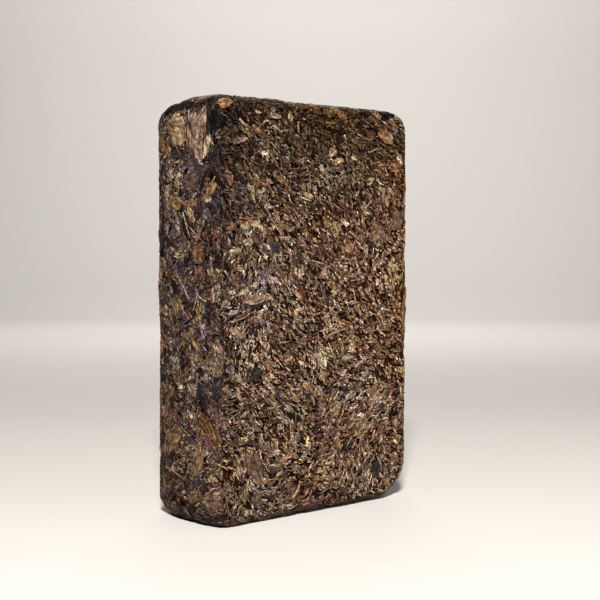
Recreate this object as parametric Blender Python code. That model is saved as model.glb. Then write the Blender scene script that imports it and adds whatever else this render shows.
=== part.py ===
"""Dark tea brick: tea leaves and stalks pressed in a mould, one solid block standing on a short end.

Metres, +Z up. The origin is the centre of the resting face, X is the brick's width, Y its thickness
(the front broad face looks along -Y) and Z its height. The core is the pressed block with its arched
narrow sides and unequal corners. The leaves and stalks large enough to stand out of it are laid on
the core's skin and fused with it by one union.
"""

from math import copysign, cos, hypot, pi, radians, sin
import random

import bmesh
import bpy
from mathutils import Matrix, Vector, noise
from mathutils.bvhtree import BVHTree

# Driving dimensions of the block
HEIGHT = 0.223
WIDTH = 0.142
THICKNESS = 0.056
RESTING_CUT = 0.002          # what standing on its end has pressed flat
SIDE_CROWN = 0.0065          # how far the narrow sides and ends bulge at mid thickness
CROWN_POWER = 2.4
CORNER_TOP_LEFT = 0.0156
CORNER_TOP_RIGHT = 0.0124
CORNER_BOTTOM_LEFT = 0.0125
CORNER_BOTTOM_RIGHT = 0.0250
LEAST_CORNER = 0.0005

# The core's mesh and its unevenness
CELLS_WIDTH = 16
CELLS_THICKNESS = 8
CELLS_HEIGHT = 24
GATHERED = 0.5               # how strongly the core's cells gather towards the corners
BED = 0.0008                 # how far the core lies under the outline that the laid pieces reach
SWELL = 0.0007               # slow unevenness of the whole face
SWELL_SIZE = 0.045
CRAG = 0.0013                # clumps of leaf
CRAG_SIZE = 0.011

# Leaves and stalks fused on the core
SEED = 11
ROOTED = 0.0016              # how deep each piece reaches under the skin
LEAF_SIDES = 6
LEAF_STANDS = (0.0004, 0.0009)
LEAF_RIDGE = 0.0005
STALK_SIDES = 5
STALK_LENGTHS = (0.012, 0.026)
STALK_THICKNESS = (0.0013, 0.0018)
BROAD_LEAF_LENGTHS = (0.010, 0.018)
NARROW_LEAF_LENGTHS = (0.014, 0.024)
LEAF_PROPORTIONS = (0.38, 0.62)
EDGE_MARGIN = 0.07           # share of a face kept free of piece centres at each end
STRAY = 0.004                # how far a piece may lie off its even place
ALONG_SPREAD = radians(38)   # how far the leaves of a narrow side lean off its length

# How many leaves and stalks lie on each face
BROAD_LEAVES = 50
BROAD_STALKS = 18
SIDE_LEAVES = 25
SIDE_STALKS = 3
TOP_LEAVES = 13
TOP_STALKS = 2

# The largest single pieces: kind, face, place across and up the face, length, width, lean
LARGE_PIECES = (
    ("leaf", "left", -0.002, 0.199, 0.026, 0.017, radians(74)),
    ("leaf", "left", 0.013, 0.186, 0.024, 0.011, radians(97)),
    ("leaf", "left", -0.019, 0.176, 0.012, 0.0065, radians(100)),
    ("leaf", "left", -0.001, 0.165, 0.015, 0.008, radians(25)),
    ("leaf", "left", -0.012, 0.036, 0.019, 0.009, radians(80)),
    ("leaf", "left", 0.011, 0.069, 0.028, 0.009, radians(92)),
    ("stalk", "front", -0.0655, 0.134, 0.042, 0.0018, radians(97)),
    ("leaf", "front", -0.044, 0.034, 0.017, 0.013, radians(60)),
    ("leaf", "front", 0.048, 0.202, 0.015, 0.008, radians(15)),
    ("stalk", "front", 0.013, 0.0955, 0.019, 0.0016, radians(5)),
    ("leaf", "front", 0.002, 0.083, 0.010, 0.006, radians(70)),
)
# The leaf that lifts off the right side
LIFTED_HEIGHT = 0.108
LIFTED_DEPTH = -0.012
LIFTED_LENGTH = 0.024
LIFTED_WIDTH = 0.013
LIFTED_STANDS = 0.0015

NEARLY_FLAT = radians(4)     # cut faces that meet this flat are made one before they are split again

MOULD_HEIGHT = HEIGHT + RESTING_CUT
MID_HEIGHT = HEIGHT - MOULD_HEIGHT / 2
GOLDEN_STEPS = (0.7548776662, 0.5698402910)   # steps that scatter points evenly over a square


def clear_scene():
    for thing in list(bpy.data.objects):
        bpy.data.objects.remove(thing, do_unlink=True)


def object_from(name, form):
    mesh = bpy.data.meshes.new(name)
    form.to_mesh(mesh)
    form.free()
    return bpy.data.objects.new(name, mesh)


# ---------------------------------------------------------------- core

def crowning(depth):
    """How far the outline draws in at a depth, from none at mid thickness to all at the broad faces."""
    share = min(abs(depth) / (THICKNESS / 2), 1)
    return SIDE_CROWN * (1 - (1 - share ** CROWN_POWER) ** (1 / CROWN_POWER))


def corner_radius(x, z):
    if z > 0:
        return CORNER_TOP_RIGHT if x > 0 else CORNER_TOP_LEFT
    return CORNER_BOTTOM_RIGHT if x > 0 else CORNER_BOTTOM_LEFT


def gathered(share):
    """Spread evenly spaced lines so that they lie closer towards the corners."""
    return share + (sin(share * pi / 2) - share) * GATHERED


def moulded(point):
    """The place on the moulded block of a point on a plain box from -1 to 1 each way."""
    depth = THICKNESS / 2 * sin(point.y * pi / 2)
    drawn_in = crowning(depth)
    half_width = WIDTH / 2 - drawn_in
    half_height = MOULD_HEIGHT / 2 - drawn_in
    across = gathered(abs(point.x)) * half_width
    upward = gathered(abs(point.z)) * half_height
    radius = max(corner_radius(point.x, point.z) - drawn_in, LEAST_CORNER)
    over = across - (half_width - radius)
    above = upward - (half_height - radius)
    if over > 0 and above > 0:
        pull = max(over, above) / hypot(over, above)
        across = half_width - radius + over * pull
        upward = half_height - radius + above * pull
    return Vector((copysign(across, point.x), depth, copysign(upward, point.z) + MID_HEIGHT))


def outward(point):
    """Which way is out of the block, rounded over its edges."""
    level = Vector((point.x, point.y, point.z - MID_HEIGHT))
    halves = (WIDTH / 2, THICKNESS / 2, MOULD_HEIGHT / 2)
    shares = [copysign((abs(level[i]) / halves[i]) ** 9, level[i]) for i in range(3)]
    return Vector(shares).normalized()


def relief(point):
    slow = noise.noise(point / SWELL_SIZE)
    clumps = noise.noise(point / CRAG_SIZE)
    return SWELL * slow + CRAG * clumps - BED


def build_core():
    form = bmesh.new()
    bmesh.ops.create_cube(form, size=2)
    for axis, cells in ((0, CELLS_WIDTH), (1, CELLS_THICKNESS), (2, CELLS_HEIGHT)):
        along = [e for e in form.edges if abs(e.verts[0].co[axis] - e.verts[1].co[axis]) > 1]
        bmesh.ops.subdivide_edges(form, edges=along, cuts=cells - 1, use_grid_fill=True)
    for vert in form.verts:
        place = moulded(vert.co)
        vert.co = place + outward(place) * relief(place)
    bmesh.ops.triangulate(form, faces=form.faces[:])
    return form


# ---------------------------------------------------------------- leaves and stalks

def leaf_form(length, width, stands, rng):
    """A flat leaf with pointed ends and a raised middle, its face up."""
    form = bmesh.new()
    bmesh.ops.create_cone(form, cap_ends=True, cap_tris=True, segments=LEAF_SIDES,
                          radius1=1, radius2=0.82, depth=1)
    bmesh.ops.rotate(form, verts=form.verts, matrix=Matrix.Rotation(rng.uniform(0, pi), 3, "Z"))
    for vert in form.verts:
        top = vert.co.z > 0
        middle = hypot(vert.co.x, vert.co.y) < 0.1
        taper = 1 - 0.45 * abs(vert.co.x) ** 2
        vert.co.x *= length / 2 * rng.uniform(0.9, 1.04)
        vert.co.y *= width / 2 * taper * rng.uniform(0.85, 1.08)
        vert.co.z = stands * rng.uniform(0.75, 1.1) if top else -ROOTED
        if top and middle:
            vert.co.z += LEAF_RIDGE
    return form


def stalk_form(length, thickness, rng):
    """A five-sided stalk lying half sunk, bowed sideways."""
    form = bmesh.new()
    bmesh.ops.create_cone(form, cap_ends=True, cap_tris=True, segments=STALK_SIDES,
                          radius1=thickness / 2, radius2=thickness / 2 * 0.8, depth=length)
    bmesh.ops.rotate(form, verts=form.verts, matrix=Matrix.Rotation(pi / 2, 3, "Y"))
    longways = [e for e in form.edges if abs(e.verts[0].co.x - e.verts[1].co.x) > length / 2]
    bmesh.ops.subdivide_edges(form, edges=longways, cuts=2)
    bow = length * rng.uniform(-0.09, 0.09)
    for vert in form.verts:
        vert.co.y += bow * (1 - (2 * vert.co.x / length) ** 2)
        vert.co.z += thickness * 0.1 if vert.co.z > 0 else -ROOTED / 2
    return form


def face_frame(face, across, up):
    """A point outside a face of the block, with the ways along the face and into it."""
    sidelong = {"front": Vector((1, 0, 0)), "back": Vector((-1, 0, 0)), "left": Vector((0, -1, 0)),
                "right": Vector((0, 1, 0)), "top": Vector((1, 0, 0))}[face]
    upright = Vector((0, 1, 0)) if face == "top" else Vector((0, 0, 1))
    out = sidelong.cross(upright)
    reach = {"front": THICKNESS, "back": THICKNESS, "left": WIDTH, "right": WIDTH, "top": 0}[face] / 2
    origin = Vector((0, 0, HEIGHT)) if face == "top" else out * reach
    return origin + sidelong * across + upright * up, sidelong, upright, out


def lay(form, skin, face, across, up, lean):
    """Bend a flat piece over the block's skin, keeping each point's height above it."""
    place, sidelong, upright, out = face_frame(face, across, up)
    seat, normal, index, distance = skin.find_nearest(place)
    normal = outward(seat)
    first = (sidelong - normal * sidelong.dot(normal)).normalized()
    second = normal.cross(first)
    turned = first * cos(lean) + second * sin(lean)
    crosswise = normal.cross(turned)
    lowest = RESTING_CUT / 2
    for vert in form.verts:
        flat_place = seat + turned * vert.co.x + crosswise * vert.co.y
        foot, foot_normal, index, distance = skin.find_nearest(flat_place)
        vert.co = foot + (foot_normal + outward(foot)).normalized() * vert.co.z
        vert.co.z = max(vert.co.z, lowest)
    bmesh.ops.recalc_face_normals(form, faces=form.faces[:])


def scattered(count, width, height, start, rng):
    """Evenly scattered places over a face of a width and a height, each a little astray."""
    for number in range(count):
        share = (start + number * GOLDEN_STEPS[0]) % 1
        across = (EDGE_MARGIN + share * (1 - 2 * EDGE_MARGIN) - 0.5) * width
        up = (start + number * GOLDEN_STEPS[1]) % 1 * height
        yield across + rng.uniform(-STRAY, STRAY), up + rng.uniform(-STRAY, STRAY)


def scattered_pieces(rng):
    """Kind, face, place, length, width and lean of every piece that the rule scatters."""
    tall = HEIGHT * (1 - EDGE_MARGIN)
    faces = (
        ("front", WIDTH, tall, BROAD_LEAVES, BROAD_STALKS, BROAD_LEAF_LENGTHS, 0.13),
        ("back", WIDTH, tall, BROAD_LEAVES, BROAD_STALKS, BROAD_LEAF_LENGTHS, 0.41),
        ("left", THICKNESS, tall, SIDE_LEAVES, SIDE_STALKS, NARROW_LEAF_LENGTHS, 0.77),
        ("right", THICKNESS, tall, SIDE_LEAVES, SIDE_STALKS, NARROW_LEAF_LENGTHS, 0.29),
        ("top", WIDTH, THICKNESS, TOP_LEAVES, TOP_STALKS, NARROW_LEAF_LENGTHS, 0.53),
    )
    for face, width, height, leaves, stalks, lengths, start in faces:
        narrow = lengths is NARROW_LEAF_LENGTHS
        total = leaves + stalks
        every = total // stalks
        for number, (across, up) in enumerate(scattered(total, width, height, start, rng)):
            if face == "top":
                up = (up - height / 2) * 0.8
                lean = rng.uniform(-ALONG_SPREAD, ALONG_SPREAD)
            elif narrow:
                up += EDGE_MARGIN / 2 * HEIGHT
                lean = pi / 2 + rng.uniform(-ALONG_SPREAD, ALONG_SPREAD)
            else:
                up += EDGE_MARGIN / 2 * HEIGHT
                lean = rng.uniform(0, pi)
            if number % every == every - 1:
                yield "stalk", face, across, up, rng.uniform(*STALK_LENGTHS), rng.uniform(*STALK_THICKNESS), lean
            else:
                length = rng.uniform(*lengths)
                yield "leaf", face, across, up, length, length * rng.uniform(*LEAF_PROPORTIONS), lean


def build_pieces(skin):
    rng = random.Random(SEED)
    pieces = bpy.data.collections.new("laid_pieces")
    wanted = list(LARGE_PIECES) + list(scattered_pieces(rng))
    for number, (kind, face, across, up, length, width, lean) in enumerate(wanted):
        if kind == "leaf":
            form = leaf_form(length, width, rng.uniform(*LEAF_STANDS), rng)
        else:
            form = stalk_form(length, width, rng)
        lay(form, skin, face, across, up, lean)
        pieces.objects.link(object_from(f"piece_{number}", form))
    lifted = leaf_form(LIFTED_LENGTH, LIFTED_WIDTH, LIFTED_STANDS, rng)
    lay(lifted, skin, "right", LIFTED_DEPTH, LIFTED_HEIGHT, pi / 2)
    pieces.objects.link(object_from("piece_lifted", lifted))
    return pieces


# ---------------------------------------------------------------- joining

def fuse(core, pieces):
    """One union of the core with every laid piece, applied, and the pieces removed."""
    bpy.context.scene.collection.children.link(pieces)
    union = core.modifiers.new("fuse", "BOOLEAN")
    union.operation = "UNION"
    union.operand_type = "COLLECTION"
    union.collection = pieces
    union.solver = "EXACT"
    bpy.context.view_layer.update()
    evaluated = core.evaluated_get(bpy.context.evaluated_depsgraph_get())
    fused = bpy.data.meshes.new_from_object(evaluated)
    core.modifiers.remove(union)
    core.data = fused
    for thing in list(pieces.objects):
        bpy.data.objects.remove(thing, do_unlink=True)
    bpy.data.collections.remove(pieces)


def islands(form):
    """The separate bodies of a mesh, each as its set of faces."""
    left = set(form.faces)
    while left:
        body = set()
        front = [left.pop()]
        while front:
            face = front.pop()
            body.add(face)
            for edge in face.edges:
                for near in edge.link_faces:
                    if near in left:
                        left.remove(near)
                        front.append(near)
        yield body


def finish_block(core):
    """Drop loose scraps and sealed hollows, and cut the resting face flat."""
    form = bmesh.new()
    form.from_mesh(core.data)
    bodies = sorted(islands(form), key=len)
    for scrap in bodies[:-1]:
        bmesh.ops.delete(form, geom=list(scrap), context="FACES")
    everything = form.verts[:] + form.edges[:] + form.faces[:]
    cut = bmesh.ops.bisect_plane(form, geom=everything, dist=1e-6, plane_co=(0, 0, 0),
                                 plane_no=(0, 0, -1), clear_outer=True)
    rim = [e for e in cut["geom_cut"] if isinstance(e, bmesh.types.BMEdge)]
    bmesh.ops.contextual_create(form, geom=rim)
    bmesh.ops.dissolve_limit(form, angle_limit=NEARLY_FLAT, verts=form.verts[:], edges=form.edges[:])
    bmesh.ops.triangulate(form, faces=form.faces[:])
    bmesh.ops.dissolve_degenerate(form, dist=1e-6, edges=form.edges[:])
    bmesh.ops.triangulate(form, faces=form.faces[:])
    bmesh.ops.recalc_face_normals(form, faces=form.faces[:])
    lows = [min(v.co[i] for v in form.verts) for i in range(2)]
    highs = [max(v.co[i] for v in form.verts) for i in range(2)]
    centre = Vector((lows[0] + highs[0], lows[1] + highs[1], 0)) / 2
    bmesh.ops.translate(form, verts=form.verts, vec=-centre)
    form.to_mesh(core.data)
    form.free()


def pressed_tea():
    material = bpy.data.materials.new("pressed_tea")
    material.use_nodes = True
    shader = material.node_tree.nodes["Principled BSDF"]
    shader.inputs["Base Color"].default_value = (0.115, 0.071, 0.045, 1)
    shader.inputs["Roughness"].default_value = 0.62
    shader.inputs["Metallic"].default_value = 0
    return material


def build_brick():
    clear_scene()
    form = build_core()
    skin = BVHTree.FromBMesh(form)
    brick = object_from("tea_brick", form)
    bpy.context.scene.collection.objects.link(brick)
    fuse(brick, build_pieces(skin))
    finish_block(brick)
    brick.data.materials.clear()
    brick.data.materials.append(pressed_tea())


build_brick()
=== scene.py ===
"""Dress the dark tea brick: pressed leaf chips, rolled leaves, broad leaves and stalks over a dark core.

Metres, +Z up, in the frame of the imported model. Every loose-looking thing is a real mesh at true size.
A few shapes of each kind are modelled, then laid over the brick's skin in their thousands, each one
turned, sized and bent to lie on the rounded block, and joined into one piece for each kind.
"""

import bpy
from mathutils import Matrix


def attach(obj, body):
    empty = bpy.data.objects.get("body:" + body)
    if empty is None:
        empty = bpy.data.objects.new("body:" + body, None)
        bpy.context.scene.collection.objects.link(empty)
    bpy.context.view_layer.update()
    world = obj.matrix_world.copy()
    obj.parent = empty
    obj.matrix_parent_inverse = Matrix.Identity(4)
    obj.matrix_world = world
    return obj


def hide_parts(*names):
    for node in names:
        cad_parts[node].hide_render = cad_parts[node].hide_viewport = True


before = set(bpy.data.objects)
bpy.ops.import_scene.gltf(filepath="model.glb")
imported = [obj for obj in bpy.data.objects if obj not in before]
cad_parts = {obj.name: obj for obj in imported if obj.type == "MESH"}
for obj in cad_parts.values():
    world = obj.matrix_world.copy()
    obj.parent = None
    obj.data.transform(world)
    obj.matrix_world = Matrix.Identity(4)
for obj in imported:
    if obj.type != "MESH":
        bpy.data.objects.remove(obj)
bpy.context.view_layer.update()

from copy import copy
from math import cos, pi, radians, sin
import random

import bmesh
import bpy
from mathutils import Matrix, Vector, noise
import numpy as np

MM = 0.001

# ------------ sizes of the block

HEIGHT = 223 * MM
WIDTH = 142 * MM
THICKNESS = 56 * MM
RESTING_CUT = 2 * MM
SIDE_CROWN = 6.5 * MM
CROWN_POWER = 2.4
CORNERS = {"top_left": 15.6 * MM, "top_right": 12.4 * MM, "bottom_left": 12.5 * MM, "bottom_right": 25 * MM}
MOULD_HEIGHT = HEIGHT + RESTING_CUT
MID_HEIGHT = HEIGHT - MOULD_HEIGHT / 2
BLOCK = np.array((WIDTH, THICKNESS, MOULD_HEIGHT))
RESTING_LEVEL = 0.8 * MM  # the skin of the flat that it rests on
LOWEST = 0.1 * MM  # nothing reaches below this

# unevenness of the skin, as in the solid
BED = 0.8 * MM
SWELL = 0.7 * MM
SWELL_SIZE = 45 * MM
CRAG = 0.8 * MM
CRAG_SIZE = 11 * MM


# ------------ the block's skin

def skin_level(points):
    """How far each point is outside the moulded block, as a share of its crown: inside is below 0."""
    across, depth, upward = points[:, 0], points[:, 1], points[:, 2] - MID_HEIGHT
    upper = np.where(across > 0, CORNERS["top_right"], CORNERS["top_left"])
    lower = np.where(across > 0, CORNERS["bottom_right"], CORNERS["bottom_left"])
    radius = np.where(upward > 0, upper, lower)
    over = np.abs(across) - (WIDTH / 2 - radius)
    above = np.abs(upward) - (MOULD_HEIGHT / 2 - radius)
    outline = np.hypot(np.maximum(over, 0), np.maximum(above, 0))
    outline += np.minimum(np.maximum(over, above), 0) - radius
    drawn = np.maximum(1 + outline / SIDE_CROWN, 0)
    deep = np.abs(depth) / (THICKNESS / 2)
    bulk = (drawn ** CROWN_POWER + deep ** CROWN_POWER) ** (1 / CROWN_POWER) - 1
    rest = (RESTING_LEVEL - points[:, 2]) / SIDE_CROWN
    return np.maximum(bulk, rest)


def skin_slope(points):
    """The way in which skin_level grows at each point."""
    step = 0.01 * MM
    slope = np.empty_like(points)
    for axis in range(3):
        ahead, behind = points.copy(), points.copy()
        ahead[:, axis] += step
        behind[:, axis] -= step
        slope[:, axis] = (skin_level(ahead) - skin_level(behind)) / (2 * step)
    return slope


def unit(vectors):
    return vectors / np.maximum(np.linalg.norm(vectors, axis=1, keepdims=True), 1e-12)


def press_on(points, turns=4):
    """Move points onto the skin. Returns them with the way out at each."""
    for turn in range(turns):
        slope = skin_slope(points)
        steep = np.maximum((slope ** 2).sum(axis=1), 1)
        points = points - slope * (skin_level(points) / steep)[:, None]
    return points, unit(skin_slope(points))


def relief(points):
    """How far the uneven bed of the leaves stands off the skin."""
    swell = np.array([noise.noise(Vector(p)) for p in points / SWELL_SIZE])
    crag = np.array([noise.noise(Vector(p)) for p in points / CRAG_SIZE])
    return SWELL * swell + CRAG * crag - BED


FIELD_STEP = (17.3, 5.1, 9.7)  # keeps each slow field apart from the next
FIELD_GAIN = 1.8  # brings the noise to about -1 to 1
TINT_FIELD, CAST_FIELD, FLOW_FIELD = 1, 2, 3
PATCH_FIELDS = 5  # the first of them for the kinds of chip


def drift(points, size, field):
    """A slow field from about -1 to 1, such as where a kind of leaf is common."""
    offset = Vector([field * step for step in FIELD_STEP])
    return np.array([noise.noise(Vector(p) + offset) for p in points / size]) * FIELD_GAIN


# ------------ small shapes, modelled once each

CELL_EDGE = 0.05  # clear margin of a shape's cell in the UV map
STRIP_HEIGHT = 0.17  # strip of the cell for the hidden faces
TOP_FOOT = 0.28  # where the part for the upper faces starts
TOP_HEIGHT = 0.67


def ring(face):
    """The numbers of a face's corners in turn, from the lowest."""
    corners = [v.index for v in face.verts]
    first = corners.index(min(corners))
    return corners[first:] + corners[:first]


class Shape:
    """A small modelled shape in unit sizes: x along it, y across it, z up off the brick."""

    def __init__(self, form):
        bmesh.ops.triangulate(form, faces=form.faces[:])
        bmesh.ops.recalc_face_normals(form, faces=form.faces[:])
        form.normal_update()
        form.verts.index_update()
        self.points = np.array([v.co[:] for v in form.verts])
        # the operators leave the faces in an order that differs from run to run
        faces = sorted(form.faces, key=ring)
        self.faces = np.array([ring(face) for face in faces])
        upper = np.array([face.normal.z > 0 for face in faces])[:, None]
        low, high = self.points.min(axis=0), self.points.max(axis=0)
        spots = ((self.points - low) / (high - low))[self.faces][..., :2]
        spots[..., 0] = CELL_EDGE + (1 - 2 * CELL_EDGE) * spots[..., 0]
        spots[..., 1] = np.where(upper, TOP_FOOT + TOP_HEIGHT * spots[..., 1],
                                 CELL_EDGE + STRIP_HEIGHT * spots[..., 1])
        self.cell_spots = spots.reshape(-1, 2)
        self.grain_spots = self.points[self.faces].reshape(-1, 3)[:, :2]
        # how far down each corner lies, 0 at the top to 1 at the foot, by which the finish paints shade
        self.sunk = ((high - self.points) / (high - low))[:, 2]
        form.free()


def shapes_of(model, draw, count, **cells):
    """Several shapes of one kind, each modelled from draws of its own."""
    shapes = []
    for number in range(count):
        form = bmesh.new()
        model(form, draw, number, **cells)
        shapes.append(Shape(form))
    return shapes


def new_corners(extruded):
    return [g for g in extruded["geom"] if isinstance(g, bmesh.types.BMVert)]


CHIP_CORNERS = (4, 3, 4, 4, 3)
CHIP_FLARE = 1.35  # the foot of a chip over its top
CHIP_FOOT = -2.0


def chip(form, draw, number):
    """A torn bit of leaf: a plate of three or four unequal corners, with sides that slope into the mass."""
    corners = CHIP_CORNERS[number % len(CHIP_CORNERS)]
    bmesh.ops.create_circle(form, cap_ends=True, segments=corners, radius=1)
    # create_circle sets its first corner on +Y
    turn = Matrix.Rotation(pi / 2 + draw.uniform(-0.45, 0.45), 3, "Z")
    bmesh.ops.rotate(form, verts=form.verts, matrix=turn)
    for vert in form.verts:
        vert.co.x *= draw.uniform(0.75, 1.2)
        vert.co.y *= draw.uniform(0.75, 1.2)
        vert.co.z = draw.uniform(0.2, 1.0)
    for vert in new_corners(bmesh.ops.extrude_face_region(form, geom=form.faces[:])):
        vert.co.x *= CHIP_FLARE
        vert.co.y *= CHIP_FLARE
        vert.co.z = CHIP_FOOT


def crumb(form, draw, number):
    bmesh.ops.create_uvsphere(form, u_segments=4, v_segments=2, radius=1)
    for vert in form.verts:
        vert.co = Vector([c * draw.uniform(0.65, 1.2) for c in vert.co])


def rod(form, sides, far_end, cuts):
    """A rod along x from -1 to 1, cut across so that it can bend, with its far end that much as thick."""
    bmesh.ops.create_cone(form, cap_ends=True, cap_tris=False, segments=sides, radius1=1, radius2=far_end,
                          depth=2)
    bmesh.ops.rotate(form, verts=form.verts, matrix=Matrix.Rotation(pi / 2, 3, "Y"))
    longways = [e for e in form.edges if abs(e.verts[0].co.x - e.verts[1].co.x) > 1]
    bmesh.ops.subdivide_edges(form, edges=longways, cuts=cuts)


def rolled_leaf(form, draw, number):
    """A leaf rolled into a thin wiry strip, thicker in the middle, with a bend."""
    rod(form, 4, 1, 3)
    bow, wave = draw.uniform(-1.2, 1.2), draw.uniform(-0.5, 0.5)
    girths = {x: draw.uniform(0.65, 1.1) for x in (-0.5, 0.0, 0.5)}
    twist = draw.uniform(-0.8, 0.8)
    for vert in form.verts:
        x = vert.co.x
        girth = girths.get(round(x, 1), draw.uniform(0.2, 0.5))
        turn = Matrix.Rotation(twist * x, 3, "X")
        vert.co = turn @ Vector((0, vert.co.y * girth, vert.co.z * girth))
        vert.co.x = x
        vert.co.y += bow * (1 - x * x) + wave * sin(x * pi)


def stalk(form, draw, number):
    """A five-sided rod with a bow and a kink, one end blunt and the other thinner."""
    rod(form, 5, 0.7, 2)
    bow, kink = draw.uniform(-1.2, 1.2), draw.uniform(-0.4, 0.4)
    for vert in form.verts:
        x = vert.co.x
        vert.co.y += bow * (1 - x * x) + kink * (x > 0.2)


LEAF_TIP = 0.10  # least width of a leaf's end
LEAF_JAG = 0.12  # how ragged its long edges are
CREASE, WRINKLE, MIDRIB = 1.3, 0.7, 0.5
FINER = 2.3  # the wrinkles are this much smaller than the creases
LEAF_FLARE = (1.04, 1.10)  # the foot of a leaf over its top, along and across
LEAF_FOOT = -2.4


def pressed_leaf(form, draw, number, long, wide):
    """A whole or torn leaf pressed flat: a crumpled plate with a midrib, one pointed end and one torn."""
    bmesh.ops.create_grid(form, x_segments=long, y_segments=wide, size=1)
    point, tear = draw.uniform(1.5, 2.6), draw.uniform(3.0, 9.0)
    slant, bow = draw.uniform(-0.35, 0.35), draw.uniform(-0.25, 0.25)
    crumple = draw.uniform(2.0, 3.4)
    place = Vector((number * 7.3, 2.1, 5.7))
    for vert in form.verts:
        x, y = vert.co.x, vert.co.y
        half = (1 - abs(x) ** (point if x > 0 else tear)) ** 0.7 if abs(x) < 1 else 0
        jag = 1 + draw.uniform(-LEAF_JAG, LEAF_JAG) * (abs(y) > 0.9)
        vert.co.y = y * max(half, LEAF_TIP) * jag + bow * (1 - x * x)
        vert.co.x = x + slant * y * max(-x, 0)
        creases = noise.noise(Vector((x, y, 0)) * crumple + place)
        wrinkles = noise.noise(Vector((x, y, 3)) * crumple * FINER + place)
        vert.co.z = CREASE * creases + WRINKLE * wrinkles + MIDRIB * max(0, 1 - abs(y) * 5)
    rim = [e for e in form.edges if e.is_boundary]
    for vert in new_corners(bmesh.ops.extrude_edge_only(form, edges=rim)):
        vert.co.x *= LEAF_FLARE[0]
        vert.co.y *= LEAF_FLARE[1]
        vert.co.z = LEAF_FOOT
    bmesh.ops.holes_fill(form, edges=[e for e in form.edges if e.is_boundary], sides=0)


# ------------ places on the skin

# how squarely a place faces one way, from 0 to 1
LEVEL = 0.8  # more than this up or down: the top or the underside
BROAD = 0.75  # more than this to the front or back: a broad face
FLAT = 0.97  # less than this every way: the skin starts to turn round an edge
ROUND = 0.12  # this much less again: it is wholly round


class Seats:
    """Places on the skin: the point, the way out, and the way that leaves run there."""

    def __init__(self, points):
        self.points, self.out = press_on(points)
        upright = np.where(np.abs(self.out[:, 2:3]) > LEVEL, (1.0, 0, 0), (0, 0, 1.0))
        self.across = unit(np.cross(upright, self.out))
        self.along = np.cross(self.out, self.across)
        self.broad = np.abs(self.out[:, 1]) > BROAD
        self.bed = relief(self.points)
        self.rounded = np.clip((FLAT - np.abs(self.out).max(axis=1)) / ROUND, 0, 1)

    def take(self, chosen):
        part = copy(self)
        for name, values in vars(self).items():
            setattr(part, name, values[chosen])
        return part

    def __len__(self):
        return len(self.points)


class Covers:
    """Where the large leaves lie, so that the small ones there stay under them."""

    DEEP = 6 * MM  # a leaf hides nothing further off its own face than this

    def __init__(self):
        self.places = []

    def add(self, seats, sizes, lean):
        forward = seats.across * np.cos(lean)[:, None] + seats.along * np.sin(lean)[:, None]
        sideways = np.cross(seats.out, forward)
        for row in range(len(seats)):
            length, width = sizes[row, :2]
            self.places.append((seats.points[row], forward[row] * 2 / length, sideways[row] * 2 / width,
                                seats.out[row] / self.DEEP))

    def hides(self, points, share):
        hidden = np.zeros(len(points), bool)
        for point, *axes in self.places:
            away = points - point
            hidden |= sum((away @ axis) ** 2 for axis in axes) < share
        return hidden


COVERS = Covers()
# how far from the middle of a large leaf, squared, as a share of its half length and half width
WELL_UNDER = 0.6  # this near, the small leaves sink under it
WELL_CLEAR = 2.0  # this near a picked leaf, no other large one lies
HIDDEN_DEPTH = 1.2 * MM  # how far the small leaves sink


def scatter(draws, count):
    """Seats spread over all six sides of the block by area."""
    sides = []
    for axis in range(3):
        others = [i for i in range(3) if i != axis]
        sides += [(axis, way, BLOCK[others[0]] * BLOCK[others[1]]) for way in (-1, 1)]
    total = sum(area for axis, way, area in sides)
    clouds = []
    for axis, way, area in sides:
        number = int(round(count * area / total))
        cloud = draws.uniform(-0.5, 0.5, (number, 3)) * BLOCK
        cloud[:, axis] = way * BLOCK[axis] / 2
        cloud[:, 2] += MID_HEIGHT
        clouds.append(cloud)
    cloud = np.concatenate(clouds)
    draws.shuffle(cloud)
    seats = Seats(cloud)
    seats.bed -= HIDDEN_DEPTH * COVERS.hides(seats.points, WELL_UNDER)
    return seats


# ------------ tones, painted shade and lie by area

EDGE_SHADE = 0.12  # leaves round an edge are painted darker as shade
TINT_SIZE = 17 * MM  # size of the areas where leaves are paler or darker
TINT_DRIFT = 0.17
TINT_SPREAD = 0.66  # few leaves are as dark or as pale as their kind can be
CAST_SIZE = 26 * MM  # size of the areas that lean to brown or to grey
CAST = np.array((0.05, 0.0, -0.05))
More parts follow.
